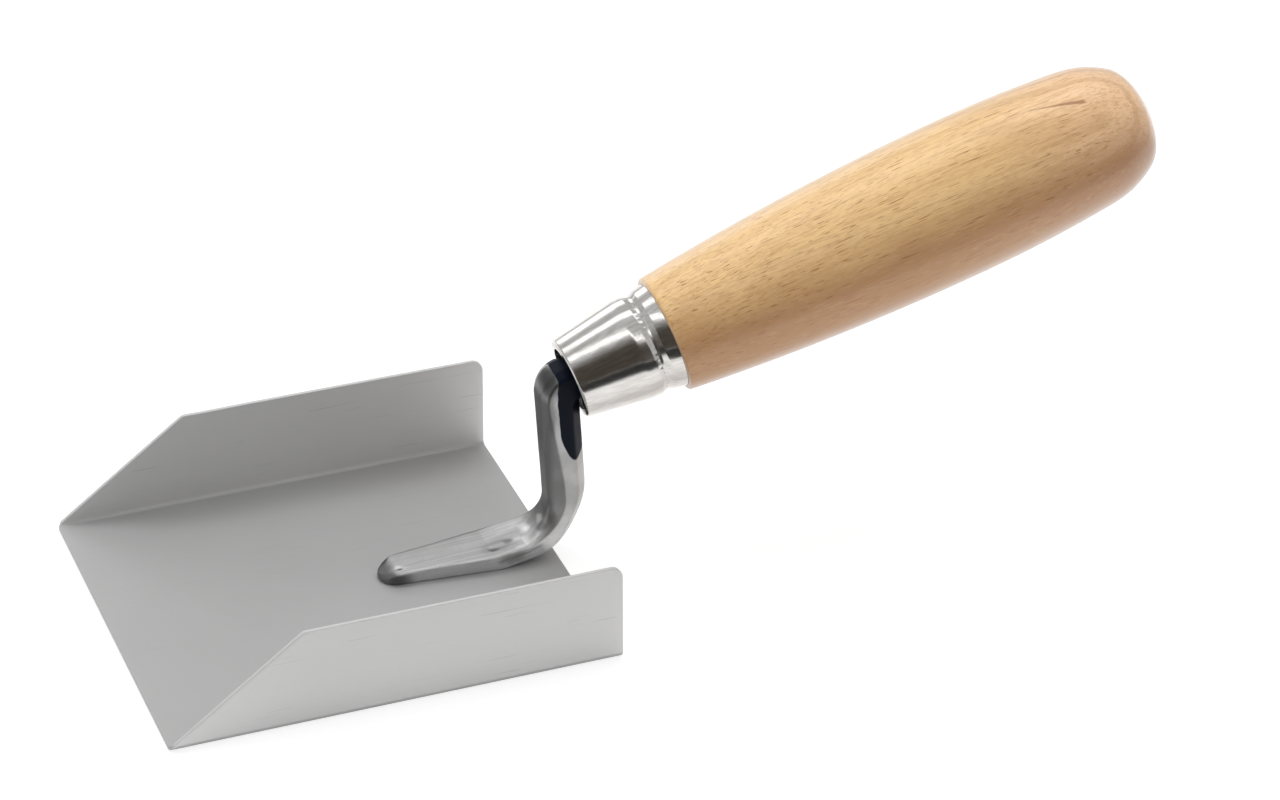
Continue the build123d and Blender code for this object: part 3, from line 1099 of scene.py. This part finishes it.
def plain(name, colour, camera_white=0.0, glow=0.0):
    """A matt studio surface that glows a little; for the camera, that share of it is flat white."""
    s = Shader(name, Roughness=0.9, Specular_IOR_Level=0.1, Emission_Color=(1, 1, 1, 1))
    seen = s.node("LightPath").outputs["Is Camera Ray"]
    share = s.math("MULTIPLY", seen, camera_white)
    return s.use(
        Base_Color=s.mix(share, colour, (0, 0, 0, 1)),
        Emission_Strength=s.mix_value(seen, glow, camera_white * white_level),
    )


def stage_sheet(name, low, high, height, material):
    """A flat rectangle in metres that belongs to the studio."""
    mesh = bpy.data.meshes.new(name)
    corners = [(low[0], low[1]), (high[0], low[1]), (high[0], high[1]), (low[0], high[1])]
    mesh.from_pydata([(x, y, height) for x, y in corners], [], [(0, 1, 2, 3)])
    mesh.materials.append(material)
    made = add_object(name, mesh)
    return made


def make_world():
    """A grey tent that is dark round the camera's side; the camera itself sees it pale."""
    world = bpy.data.worlds.new("studio")
    bpy.context.scene.world = world
    world.use_nodes = True
    tree = world.node_tree
    nodes, links = tree.nodes, tree.links
    background = nodes["Background"]
    direction = nodes.new("ShaderNodeTexCoord").outputs["Generated"]
    dot = nodes.new("ShaderNodeVectorMath")
    dot.operation = "DOT_PRODUCT"
    links.new(direction, dot.inputs[0])
    dot.inputs[1].default_value = dark_direction
    ramp = nodes.new("ShaderNodeValToRGB")
    ramp.color_ramp.interpolation = "EASE"
    stops = ramp.color_ramp.elements
    stops[0].position = tent_edge
    stops[0].color = grey(tent_brightness)
    stops[1].position = dark_edge
    stops[1].color = grey(dark_brightness, dark_warmth)
    links.new(dot.outputs["Value"], ramp.inputs[0])
    links.new(ramp.outputs["Color"], background.inputs["Color"])
    seen = nodes.new("ShaderNodeBackground")
    seen.inputs["Color"].default_value = grey(backdrop_grey)
    mixer = nodes.new("ShaderNodeMixShader")
    links.new(nodes.new("ShaderNodeLightPath").outputs["Is Camera Ray"], mixer.inputs[0])
    links.new(background.outputs[0], mixer.inputs[1])
    links.new(seen.outputs[0], mixer.inputs[2])
    links.new(mixer.outputs[0], nodes["World Output"].inputs["Surface"])


def make_studio():
    """Pale floor, dark flag for reflections, strips overhead, a window behind and fill lights."""
    make_world()
    paper = plain("floor_paper", grey(floor_albedo), floor_white, floor_glow)
    corner = (floor_reach, floor_reach)
    stage_sheet("floor", (-floor_reach, -floor_reach), corner, floor_height, paper)
    cloth = plain("flag_cloth", grey(0.02))
    flag = stage_sheet("dark_flag", flag_low, (flag_far_x, flag_start), flag_height, cloth)
    flag.visible_camera = False
    flag.visible_diffuse = False
    flag.visible_shadow = False
    ferrule_at = mouth * MM
    for name, start, end, width, radiance in ceiling_strips:
        a = ferrule_at + Vector((start[0], start[1], 1)) * ceiling
        b = ferrule_at + Vector((end[0], end[1], 1)) * ceiling
        middle = (a + b) / 2
        below = middle - Vector((0, 0, 1))
        strip = softbox(name, middle, below, width * ceiling, (b - a).length, radiance)
        strip.rotation_euler = Euler((0, 0, atan2(b.y - a.y, b.x - a.x) - pi / 2))
    softbox("back_window", back_window_at, ferrule_at, *back_window_size, back_window_radiance)
    for name, place, size, radiance in fills:
        fill = softbox(name, place, ferrule_at, size, size, radiance)
        fill.visible_glossy = False


def make_camera():
    """A long lens above the near front of the pan."""
    data = bpy.data.cameras.new("camera")
    data.sensor_width = 36.0
    data.lens = camera_lens
    camera = add_object("camera", data)
    a, e, r = (radians(v) for v in (camera_azimuth, camera_elevation, camera_roll))
    back = Vector((sin(a) * cos(e), -cos(a) * cos(e), sin(e)))
    camera.location = camera_target + back * camera_distance
    camera.rotation_euler = back.to_track_quat("Z", "Y").to_euler()
    camera.rotation_euler.rotate_axis("Z", r)
    bpy.context.scene.camera = camera


# --- put it together --------------------------------------------------

make_camera()
make_studio()
make_blade()
make_shank()
make_ferrule()
make_handle()
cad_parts["spot_welds"].data.materials.clear()
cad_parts["spot_welds"].data.materials.append(weld_metal())

view_settings = bpy.context.scene.view_settings
view_settings.view_transform = "Standard"
view_settings.look = "None"
